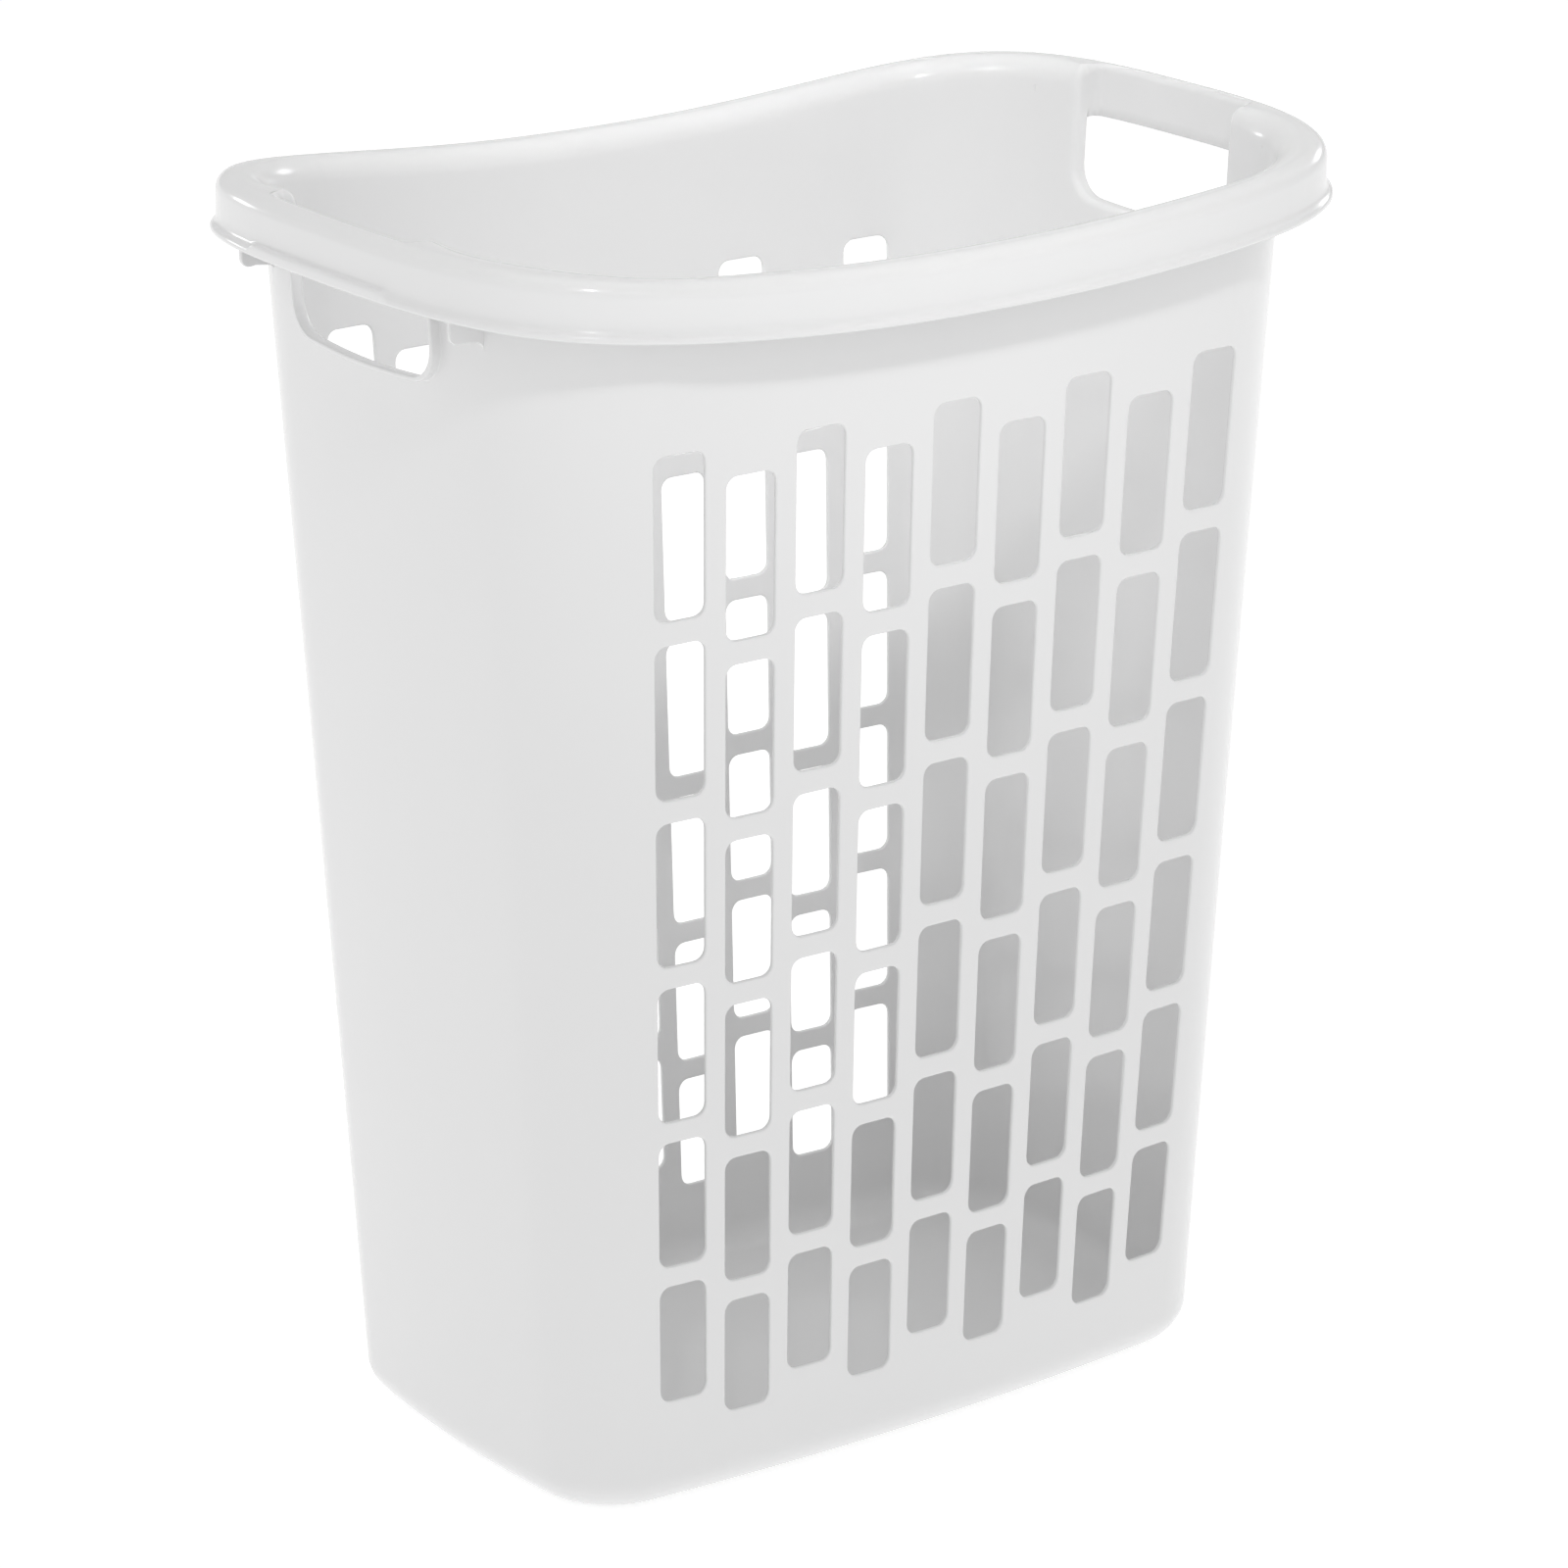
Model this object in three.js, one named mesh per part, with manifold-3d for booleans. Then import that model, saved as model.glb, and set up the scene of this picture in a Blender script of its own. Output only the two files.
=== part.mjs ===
// Open laundry hamper, injection moulded in one shot from white polypropylene.
// Millimetres, +Z up, origin at the centre of the footprint on the floor.
// X runs along the length, from handle to handle. Y runs from front to back.
// The moulding is divided into its named regions: floor, rounded base edge,
// slotted long walls, end walls, corner walls, rolled rim, grips, handle lips,
// handle webs and gusset ribs. Neighbouring regions meet across a hairline.
import * as THREE from 'three';
import { mergeVertices } from 'three/addons/utils/BufferGeometryUtils.js';
import Module from 'manifold-3d';

// ---- walls ---------------------------------------------------------------
const WALL = 2.4;
const GAP = 0.3;
const HALF_LENGTH = 198.1;
const LENGTH_DRAFT = 0.0550;
const HALF_DEPTH = 119.3;
const DEPTH_DRAFT = 0.041;
const CORNER_RADIUS = 36.5;
const CORNER_GROWTH = 0.0448;
// Long walls bulge in plan, less so towards the top. End walls bulge evenly.
const LONG_BOW = 7.04;
const LONG_BOW_FADE = 0.0113;
const LONG_BOW_AT = 153.9;
const END_BOW = 6.86e-4;
const BASE_RADIUS = 18;

// ---- vent slots ------------------------------------------------------------
const COLUMNS = 9;
const ROWS = 6;
const COLUMN_PITCH = 38.5;
const SLOT_WIDTH = 27.2;
const SLOT_TOP = 527.3;
const CONVERGENCE = 1.944e-4;
const ROW_PITCH = 82;
const ROW_SHRINK = 0.0466;
const SLOT_HEIGHT = 69.2;
const SLOT_SHRINK = 0.0511;
const STAGGER = 15.5;
const SLOT_CORNER = 6;

// ---- rolled rim --------------------------------------------------------------
const SKIRT_HALF_LENGTH = 253.6;
const SKIRT_HALF_DEPTH = 164.1;
const SKIRT_END_POWER = 6.55;
const SKIRT_SIDE_POWER = 2.95;
const CROWN_MID_HEIGHT = 601.5;
const CROWN_STEP = 2.3;
const CROWN_RISE = 9.3;
const CROWN_RISE_AT = 192.4;
const SKIRT_HEIGHT = 26.6;
const BEAD = 3.2;
const CROWN_RADIUS = 7.8;
const RIM_ROOT = 27;

// ---- handles -----------------------------------------------------------------
const OPENING_HALF_WIDTH = 57.9;
const OPENING_BOTTOM = 553;
const OPENING_SAG = 2.5;
const OPENING_CORNER = 16;
const LIP_REACH = 5;
const LIP_THICKNESS = 2.4;
const GRIP_HALF_WIDTH = 60.7;
const GRIP_CROWN = 12;
const GRIP_ROLL = 7;
const WEB_AT = 58.7;
const WEB_THICKNESS = 2.4;
const GUSSET_AT = 88.5;
const GUSSET_BOTTOM = 579;
const GUSSET_THICKNESS = 2.6;

// Perimeter segments, anticlockwise from the front left seen from above.
const FRONT = 0;
const CORNER_FR = 1;
const RIGHT = 2;
const CORNER_BR = 3;
const BACK = 4;
const CORNER_BL = 5;
const LEFT = 6;
const CORNER_FL = 7;

const wasm = await Module();
wasm.setup();

// ---- plan outline --------------------------------------------------------------

// Plain rounded rectangle at height z, before the walls are bowed.
function plainOutline(segment, f, z) {
  const a = HALF_LENGTH + LENGTH_DRAFT * z;
  const b = HALF_DEPTH + DEPTH_DRAFT * z;
  const r = CORNER_RADIUS + CORNER_GROWTH * z;
  const quarter = Math.floor(segment / 2);
  const swapped = quarter % 2 === 1;
  const along = swapped ? b : a;
  const across = swapped ? a : b;
  let p;
  let q;
  if (segment % 2 === 0) {
    p = (2 * f - 1) * (along - r);
    q = -across;
  } else {
    const angle = f * Math.PI / 2;
    p = along - r + r * Math.sin(angle);
    q = -(across - r) - r * Math.cos(angle);
  }
  if (quarter === 0) return [p, q];
  if (quarter === 1) return [-q, p];
  if (quarter === 2) return [-p, -q];
  return [q, -p];
}

function bowed(x, y, z) {
  const a = HALF_LENGTH + LENGTH_DRAFT * z;
  const b = HALF_DEPTH + DEPTH_DRAFT * z;
  const sagY = (LONG_BOW - LONG_BOW_FADE * z) * (x / LONG_BOW_AT) ** 2;
  const sagX = END_BOW * y * y;
  return [x - sagX * x / a, y - sagY * y / b];
}

// Outer face of the wall and its outward direction in plan.
function outline(segment, f, z) {
  const step = 1e-4;
  const here = bowed(...plainOutline(segment, f, z), z);
  const before = bowed(...plainOutline(segment, f - step, z), z);
  const after = bowed(...plainOutline(segment, f + step, z), z);
  const tx = after[0] - before[0];
  const ty = after[1] - before[1];
  const size = Math.hypot(tx, ty);
  return { x: here[0], y: here[1], nx: ty / size, ny: -tx / size };
}

function wallPoint(segment, f, z, offset) {
  const o = outline(segment, f, z);
  return new THREE.Vector3(o.x + o.nx * offset, o.y + o.ny * offset, z);
}

// Segment and share where a long wall's outline lies at x along it, measured from its middle.
function longPlace(segment, x, z) {
  const a = HALF_LENGTH + LENGTH_DRAFT * z;
  const b = HALF_DEPTH + DEPTH_DRAFT * z;
  const r = CORNER_RADIUS + CORNER_GROWTH * z;
  const half = a - r;
  let plain = Math.abs(x) / (1 - END_BOW * b * b / a);
  if (plain <= half) return [segment, 0.5 + 0.5 * Math.sign(x) * plain / half];
  let angle = 0;
  for (let i = 0; i < 6; i++) {
    angle = Math.asin(Math.min(1, (plain - half) / r));
    const y = b - r + r * Math.cos(angle);
    plain = Math.abs(x) / (1 - END_BOW * y * y / a);
  }
  const share = angle / (Math.PI / 2);
  return x > 0 ? [segment + 1, share] : [(segment + 7) % 8, 1 - share];
}

// ---- solid helpers ---------------------------------------------------------------

function signedVolume(geometry) {
  const p = geometry.attributes.position;
  const index = geometry.index.array;
  const a = new THREE.Vector3();
  const b = new THREE.Vector3();
  const c = new THREE.Vector3();
  let sum = 0;
  for (let i = 0; i < index.length; i += 3) {
    a.fromBufferAttribute(p, index[i]);
    b.fromBufferAttribute(p, index[i + 1]);
    c.fromBufferAttribute(p, index[i + 2]);
    sum += a.dot(b.cross(c));
  }
  return sum / 6;
}

// Merges the vertices and turns the faces outwards.
function closed(geometry) {
  geometry.deleteAttribute('normal');
  geometry.deleteAttribute('uv');
  const merged = mergeVertices(geometry, 1e-3);
  if (signedVolume(merged) < 0) {
    const index = merged.index.array;
    for (let i = 0; i < index.length; i += 3) {
      const swap = index[i + 1];
      index[i + 1] = index[i + 2];
      index[i + 2] = swap;
    }
  }
  merged.computeVertexNormals();
  return merged;
}

// Moves every vertex of a geometry through a function of its position.
function mapped(geometry, place) {
  const p = geometry.attributes.position;
  for (let i = 0; i < p.count; i++) {
    const to = place(p.getX(i), p.getY(i), p.getZ(i));
    p.setXYZ(i, to.x, to.y, to.z);
  }
  return closed(geometry);
}

// A curved panel: across runs 0 to 1 along it, up 0 to 1 and out 0 to 1.
function panel(acrossSteps, upSteps, place) {
  const box = new THREE.BoxGeometry(1, 1, 1, acrossSteps, upSteps, 1);
  return mapped(box, (x, y, z) => place(x + 0.5, y + 0.5, z + 0.5));
}

function toManifold(geometry) {
  return new wasm.Manifold(new wasm.Mesh({
    numProp: 3,
    vertProperties: new Float32Array(geometry.attributes.position.array),
    triVerts: new Uint32Array(geometry.index.array),
  }));
}

function fromManifold(solid) {
  const mesh = solid.getMesh();
  const geometry = new THREE.BufferGeometry();
  const positions = new THREE.BufferAttribute(new Float32Array(mesh.vertProperties), 3);
  geometry.setAttribute('position', positions);
  geometry.setIndex(new THREE.BufferAttribute(new Uint32Array(mesh.triVerts), 1));
  geometry.computeVertexNormals();
  return geometry;
}

function polygon(points) {
  return new THREE.Shape(points.map((p) => new THREE.Vector2(p[0], p[1])));
}

function extruded(points, depth, steps = 1) {
  return new THREE.ExtrudeGeometry(polygon(points), { depth, steps, bevelEnabled: false });
}

// ---- slots -------------------------------------------------------------------------

function converge(z) {
  return 1 + CONVERGENCE * (z - SLOT_TOP);
}

function slotSpan(column, row) {
  const low = column % 2 === 1;
  const sunk = row - ROW_SHRINK * (row * (row - 1) / 2 - 2 * row);
  const top = SLOT_TOP - ROW_PITCH * sunk - (low ? STAGGER : 0);
  const trim = low && row === ROWS - 1 ? 2.2 : 0;
  const height = SLOT_HEIGHT * (1 - SLOT_SHRINK * (row - 2.5)) - trim;
  return [top - height, top];
}

// Rounded slot outline in the plane of the wall, narrowing with the wall.
function slotOutline(column, row, turns = 3) {
  const [bottom, top] = slotSpan(column, row);
  const half = SLOT_WIDTH / 2;
  const corners = [
    [half - SLOT_CORNER, bottom + SLOT_CORNER, -90],
    [half - SLOT_CORNER, top - SLOT_CORNER, 0],
    [-half + SLOT_CORNER, top - SLOT_CORNER, 90],
    [-half + SLOT_CORNER, bottom + SLOT_CORNER, 180],
  ];
  const middle = (column - (COLUMNS - 1) / 2) * COLUMN_PITCH;
  const points = [];
  for (const [cx, cz, start] of corners) {
    for (let i = 0; i < turns; i++) {
      const angle = (start + 90 * i / (turns - 1)) * Math.PI / 180;
      const z = cz + SLOT_CORNER * Math.sin(angle);
      const x = middle + cx + SLOT_CORNER * Math.cos(angle);
      points.push([x * converge(z), z]);
    }
  }
  return points;
}

function slotCutters(side) {
  const cutters = [];
  for (let column = 0; column < COLUMNS; column++) {
    for (let row = 0; row < ROWS; row++) {
      const plug = extruded(slotOutline(column, row), 60);
      cutters.push(toManifold(mapped(plug, (x, z, d) => {
        return new THREE.Vector3(side * x, side * (-100 - d - 0.03 * z), z);
      })));
    }
  }
  return cutters;
}

// ---- crown height and skirt outline ------------------------------------------------

function crownHeight(x) {
  const s = Math.min(1, Math.max(0, (Math.abs(x) - 32.6) / 174.6));
  const step = CROWN_STEP * (0.5 - 0.5 * Math.cos(Math.PI * s));
  return CROWN_MID_HEIGHT + step + CROWN_RISE * (x / CROWN_RISE_AT) ** 2;
}

// Distance from a wall point to the skirt's outer face, along the wall's normal.
function skirtDistance(o) {
  let near = 0;
  let far = 60;
  for (let i = 0; i < 40; i++) {
    const mid = (near + far) / 2;
    const x = Math.abs(o.x + o.nx * mid) / SKIRT_HALF_LENGTH;
    const y = Math.abs(o.y + o.ny * mid) / SKIRT_HALF_DEPTH;
    if (x ** SKIRT_END_POWER + y ** SKIRT_SIDE_POWER < 1) near = mid;
    else far = mid;
  }
  return near;
}

// Rim frame at one place on the perimeter: wall outline, skirt reach, crown height.
const RIM_PLAN_HEIGHT = 585;
function rimFrame(segment, f) {
  const o = outline(segment, f, RIM_PLAN_HEIGHT);
  const reach = skirtDistance(o);
  const crown = crownHeight(o.x + o.nx * reach);
  return { ...o, reach, crown };
}

// Section of the rolled rim: the wall root, crown and skirt with its flared bead.
// Each point is [share of the reach, offset in mm, height below the crown in mm].
function rimSection() {
  const points = [
    [0, -WALL, -RIM_ROOT],
    [0, 0, -RIM_ROOT],
    [0, 0.4, -13],
    [0, 2.6, -6.5],
    [0, 8, -WALL],
    [1, -CROWN_RADIUS - 1, -WALL],
    [1, -WALL - 2.2, -4.8],
    [1, -WALL, -CROWN_RADIUS - 1],
    [1, -WALL, -SKIRT_HEIGHT + 3.4],
    [1, BEAD - 2.4, -SKIRT_HEIGHT],
    [1, BEAD, -SKIRT_HEIGHT + 0.6],
    [1, BEAD - 0.8, -SKIRT_HEIGHT + 3],
    [1, 0, -SKIRT_HEIGHT + 5.4],
  ];
  for (let i = 0; i <= 4; i++) {
    const angle = i * Math.PI / 8;
    const out = CROWN_RADIUS * (Math.cos(angle) - 1);
    points.push([1, out, CROWN_RADIUS * (Math.sin(angle) - 1)]);
  }
  points.push([0, 7, -0.2], [0, 1.2, -3.6], [0, -1.6, -11]);
  return points;
}

// Section of the grip over a handle opening, a narrow channel open underneath:
// an inner wall facing the opening, a narrow crown and a skirt with a rolled lower lip.
function gripSection() {
  const points = [
    [1, -GRIP_CROWN, -3.2],
    [1, -GRIP_CROWN, -RIM_ROOT],
    [1, -GRIP_CROWN + WALL, -RIM_ROOT],
    [1, -GRIP_CROWN + WALL, -WALL - 1.6],
    [1, -GRIP_CROWN + WALL + 1.4, -WALL],
    [1, -WALL - 3.4, -WALL - 0.8],
    [1, -WALL, -CROWN_RADIUS - 1],
    [1, -WALL, -SKIRT_HEIGHT + 1],
    [1, -WALL + 1.2, -SKIRT_HEIGHT],
    [1, BEAD - 1, -SKIRT_HEIGHT],
    [1, BEAD, -SKIRT_HEIGHT + 1.2],
    [1, BEAD, -SKIRT_HEIGHT + GRIP_ROLL - 2],
    [1, 0, -SKIRT_HEIGHT + GRIP_ROLL + 1],
  ];
  for (let i = 0; i <= 4; i++) {
    const angle = i * Math.PI / 8;
    const out = CROWN_RADIUS * (Math.cos(angle) - 1);
    points.push([1, out, CROWN_RADIUS * (Math.sin(angle) - 1)]);
  }
  points.push([1, -GRIP_CROWN + 3.2, 0], [1, -GRIP_CROWN + 0.9, -0.9]);
  return points;
}

// Sweeps a section along a list of perimeter places.
function rimSweep(section, places) {
  const frames = places.map(([segment, f]) => rimFrame(segment, f));
  const nominal = 25;
  const drawn = section.map((p) => [p[0] * nominal + p[1], p[2]]);
  const geometry = extruded(drawn, frames.length - 1, frames.length - 1);
  return mapped(geometry, (x, y, s) => {
    // Each vertex lies on one drawn point of the section.
    const apart = drawn.map((p) => Math.hypot(p[0] - x, p[1] - y));
    const point = section[apart.indexOf(Math.min(...apart))];
    const frame = frames[Math.round(s)];
    const out = point[0] * frame.reach + point[1];
    const z = frame.crown + point[2];
    return new THREE.Vector3(frame.x + frame.nx * out, frame.y + frame.ny * out, z);
  });
}

// ---- regions of the moulding -------------------------------------------------------

// Share of a straight segment taken up by the hairline gap at its end.
function trimmed(f, length) {
  const cut = GAP / 2 / length;
  return cut + f * (1 - 2 * cut);
}

function segmentLength(segment, z) {
  const r = CORNER_RADIUS + CORNER_GROWTH * z;
  if (segment % 2 === 1) return r * Math.PI / 2;
  const across = segment % 4 === 0;
  const half = across ? HALF_LENGTH + LENGTH_DRAFT * z : HALF_DEPTH + DEPTH_DRAFT * z;
  return 2 * (half - r);
}

// Height where the wall ends and the rim's root begins.
function wallTop(segment, f) {
  return rimFrame(segment, f).crown - RIM_ROOT - GAP;
}

function wallPanel(segment, shares, upSteps) {
  const last = shares.length - 1;
  return panel(last, upSteps, (across, up, out) => {
    const f = trimmed(shares[Math.round(across * last)], segmentLength(segment, 300));
    const z = BASE_RADIUS + GAP + up * (wallTop(segment, f) - BASE_RADIUS - GAP);
    return wallPoint(segment, f, z, (out - 1) * WALL);
  });
}

function steps(count) {
  return Array.from({ length: count + 1 }, (unused, i) => i / count);
}

// Where a long wall ends and a corner wall begins, half a column beyond the last slots.
function longWallEnd(z) {
  return COLUMNS / 2 * COLUMN_PITCH * converge(z);
}

function slottedWall(segment, side) {
  const lines = COLUMNS + 2;
  const blank = panel(lines, 1, (across, up, out) => {
    const i = Math.round(across * lines);
    const placeAt = (z) => {
      const end = longWallEnd(z) - GAP / 2;
      const columns = (i - lines / 2) * COLUMN_PITCH * converge(z);
      const outer = i === 0 || i === lines;
      const beside = i === 1 || i === lines - 1;
      if (outer) return longPlace(segment, Math.sign(columns) * end, z);
      if (beside) return longPlace(segment, Math.sign(columns) * (end - COLUMN_PITCH / 3), z);
      return longPlace(segment, columns, z);
    };
    const low = BASE_RADIUS + GAP;
    const z = low + up * (wallTop(...placeAt(580)) - low);
    return wallPoint(...placeAt(z), z, (out - 1) * WALL);
  });
  let solid = toManifold(blank);
  for (const cutter of slotCutters(side)) solid = solid.subtract(cutter);
  return fromManifold(solid);
}

// A corner wall, from a long wall's end to an end wall.
function cornerWall(corner) {
  const afterLong = corner % 4 === 1;
  return panel(7, 1, (across, up, out) => {
    const placeAt = (z) => {
      const size = segmentLength(corner, z);
      const start = longPlace(FRONT, longWallEnd(z) + GAP / 2, z)[1];
      const share = start + (afterLong ? across : 1 - across) * (1 - GAP / 2 / size - start);
      return afterLong ? share : 1 - share;
    };
    const low = BASE_RADIUS + GAP;
    const z = low + up * (wallTop(corner, placeAt(580)) - low);
    return wallPoint(corner, placeAt(z), z, (out - 1) * WALL);
  });
}

// Inner outline of a handle opening in (y, z), open at the top.
function openingOutline(grow, top) {
  const half = OPENING_HALF_WIDTH + grow;
  const r = OPENING_CORNER + grow;
  const floorAt = (y) => OPENING_BOTTOM - grow + OPENING_SAG * (y / OPENING_HALF_WIDTH) ** 2;
  const points = [[half, top]];
  for (let i = 0; i <= 4; i++) {
    const angle = -i * Math.PI / 8;
    const y = half - r + r * Math.cos(angle);
    points.push([y, floorAt(half - r) + r + r * Math.sin(angle)]);
  }
  points.push([half / 3, floorAt(half / 3)]);
  points.push([0, floorAt(0)]);
  const mirror = points.slice(0, -1).reverse().map(([y, z]) => [-y, z]);
  return points.concat(mirror);
}

function endWallFace(side, y, z) {
  const [x] = bowed(side * (HALF_LENGTH + LENGTH_DRAFT * z), y, z);
  return x;
}

function endWall(segment, side) {
  const blank = wallPanel(segment, steps(8), 1);
  const cutter = mapped(extruded(openingOutline(LIP_THICKNESS + GAP, 660), 120), (y, z, d) => {
    return new THREE.Vector3(side * (160 + d), y, z);
  });
  return fromManifold(toManifold(blank).subtract(toManifold(cutter)));
}

function handleLip(side) {
  const top = wallTop(RIGHT, 0.5);
  const inner = openingOutline(0, top);
  const outer = openingOutline(LIP_THICKNESS, top);
  const band = extruded(outer.concat(inner.reverse()), 1);
  return mapped(band, (y, z, d) => {
    const x = endWallFace(side, y, z) + side * (-WALL + d * (WALL + LIP_REACH));
    return new THREE.Vector3(x, y, z);
  });
}

function baseEdge(segment, acrossSteps) {
  return panel(acrossSteps, 4, (across, up, out) => {
    const f = trimmed(across, segmentLength(segment, BASE_RADIUS));
    const angle = up * Math.PI / 2;
    const radius = BASE_RADIUS - (1 - out) * WALL;
    const inset = BASE_RADIUS - radius * Math.sin(angle);
    const point = wallPoint(segment, f, BASE_RADIUS, -inset);
    point.z = BASE_RADIUS - radius * Math.cos(angle);
    return point;
  });
}

function floorPanel() {
  const points = [];
  for (let segment = 0; segment < 8; segment++) {
    const count = segment % 2 === 1 ? 5 : 8;
    for (let i = 0; i < count; i++) {
      const p = wallPoint(segment, i / count, BASE_RADIUS, -BASE_RADIUS - GAP);
      points.push([p.x, p.y]);
    }
  }
  return closed(extruded(points, WALL));
}

// Perimeter places of each rim region.
function gripShare() {
  const flat = segmentLength(RIGHT, RIM_PLAN_HEIGHT);
  return 0.5 + GRIP_HALF_WIDTH / flat;
}

function longRim(segment) {
  return rimSweep(rimSection(), steps(12).map((f) => {
    return [segment, trimmed(f, segmentLength(segment, RIM_PLAN_HEIGHT))];
  }));
}

function cornerRim(corner) {
  const before = (corner + 7) % 8;
  const after = (corner + 1) % 8;
  const share = gripShare();
  const small = GAP / 2 / segmentLength(RIGHT, RIM_PLAN_HEIGHT);
  const cut = GAP / 2 / segmentLength(FRONT, RIM_PLAN_HEIGHT);
  const places = [];
  if (before % 4 === 2) places.push([before, share + small], [before, (1 + share) / 2]);
  else places.push([corner, cut]);
  for (let i = 1; i < 8; i++) places.push([corner, i / 8]);
  if (after % 4 === 2) places.push([after, (1 - share) / 2], [after, 1 - share - small]);
  else places.push([corner, 1 - cut]);
  return rimSweep(rimSection(), places);
}

function grip(segment) {
  const share = gripShare();
  const small = GAP / 2 / segmentLength(RIGHT, RIM_PLAN_HEIGHT);
  const from = 1 - share + small;
  const to = share - small;
  return rimSweep(gripSection(), steps(8).map((f) => [segment, from + f * (to - from)]));
}

// Frame of the right end's rim at a distance y from the middle of the end.
function endFrame(y) {
  const half = segmentLength(RIGHT, RIM_PLAN_HEIGHT) / 2;
  return rimFrame(RIGHT, 0.5 + 0.5 * Math.min(0.999, Math.abs(y) / half));
}

// An upright plate across the hollow of the rim at an end, drawn in (x, z).
function crossPlate(side, y, thickness, drawn) {
  return mapped(extruded(drawn, thickness), (x, z, d) => {
    return new THREE.Vector3(side * x, y + d - thickness / 2, z);
  });
}

// One upright rib between the end wall and the skirt, with a rounded free corner.
function gussetRib(side, y) {
  const frame = endFrame(y);
  const wall = endWallFace(1, y, 590);
  const reach = frame.reach - WALL - 2.2;
  const top = frame.crown - WALL - 2.5;
  return crossPlate(side, y, GUSSET_THICKNESS, [
    [wall + 1.1, GUSSET_BOTTOM - 4],
    [wall + 2.2, GUSSET_BOTTOM - 1.2],
    [wall + 5, GUSSET_BOTTOM],
    [wall + reach - 5, GUSSET_BOTTOM],
    [wall + reach - 1.5, GUSSET_BOTTOM + 1.5],
    [wall + reach, GUSSET_BOTTOM + 5],
    [wall + reach, top - 9],
    [wall + reach - 8, top],
    [wall + 9, top],
    [wall + 3.2, top - 6],
    [wall + 1.1, top - 12],
  ]);
}

// Side of a handle opening above the end wall, from the wall to the grip's inner wall.
function handleWeb(side, y) {
  const frame = endFrame(y);
  const bottom = frame.crown - RIM_ROOT;
  const inside = endWallFace(1, y, bottom) - WALL;
  const grip = frame.x + frame.reach - GRIP_CROWN - GAP - 0.4;
  const top = frame.crown - 0.8;
  return crossPlate(side, y, WEB_THICKNESS, [
    [inside, bottom],
    [grip, bottom],
    [grip, top],
    [inside + 10, top],
    [inside + 3.6, top - 2.8],
    [inside + 0.8, top - 10.2],
  ]);
}

// ---- assembly ------------------------------------------------------------------------

const hamper = new THREE.Group();

function add(name, geometry) {
  const material = new THREE.MeshStandardMaterial({
    color: 0xe6e6e6,
    roughness: 0.32,
    metalness: 0,
  });
  const mesh = new THREE.Mesh(geometry, material);
  mesh.name = name;
  hamper.add(mesh);
}

add('floor_panel', floorPanel());
add('base_edge_front', baseEdge(FRONT, 8));
add('base_edge_right', baseEdge(RIGHT, 6));
add('base_edge_back', baseEdge(BACK, 8));
add('base_edge_left', baseEdge(LEFT, 6));
add('base_corner_front_right', baseEdge(CORNER_FR, 5));
add('base_corner_back_right', baseEdge(CORNER_BR, 5));
add('base_corner_back_left', baseEdge(CORNER_BL, 5));
add('base_corner_front_left', baseEdge(CORNER_FL, 5));
add('front_wall', slottedWall(FRONT, 1));
add('back_wall', slottedWall(BACK, -1));
add('right_end_wall', endWall(RIGHT, 1));
add('left_end_wall', endWall(LEFT, -1));
add('corner_wall_front_right', cornerWall(CORNER_FR));
add('corner_wall_back_right', cornerWall(CORNER_BR));
add('corner_wall_back_left', cornerWall(CORNER_BL));
add('corner_wall_front_left', cornerWall(CORNER_FL));
add('front_rim', longRim(FRONT));
add('back_rim', longRim(BACK));
add('rim_corner_front_right', cornerRim(CORNER_FR));
add('rim_corner_back_right', cornerRim(CORNER_BR));
add('rim_corner_back_left', cornerRim(CORNER_BL));
add('rim_corner_front_left', cornerRim(CORNER_FL));
add('right_grip', grip(RIGHT));
add('left_grip', grip(LEFT));
add('right_handle_lip', handleLip(1));
add('left_handle_lip', handleLip(-1));
add('handle_web_right_front', handleWeb(1, -WEB_AT));
add('handle_web_right_back', handleWeb(1, WEB_AT));
add('handle_web_left_front', handleWeb(-1, -WEB_AT));
add('handle_web_left_back', handleWeb(-1, WEB_AT));
add('gusset_right_front', gussetRib(1, -GUSSET_AT));
add('gusset_right_back', gussetRib(1, GUSSET_AT));
add('gusset_left_front', gussetRib(-1, -GUSSET_AT));
add('gusset_left_back', gussetRib(-1, GUSSET_AT));

export default hamper;
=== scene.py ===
"""Open laundry hamper, one white polypropylene moulding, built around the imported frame.

The whole moulding is made once as a shell with a face side (inside of the walls, top of
the rim, outside of the skirt) and a back side (outside of the walls, underside of the
rim). It is then divided into one closed piece for each node of the frame. The pieces
share their border points and their normals, so the moulding reads as one.
Sizes are in millimetres, and the meshes are written in metres.
"""

import math

import bmesh
import bpy
import numpy as np
from mathutils import Matrix, Vector


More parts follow.
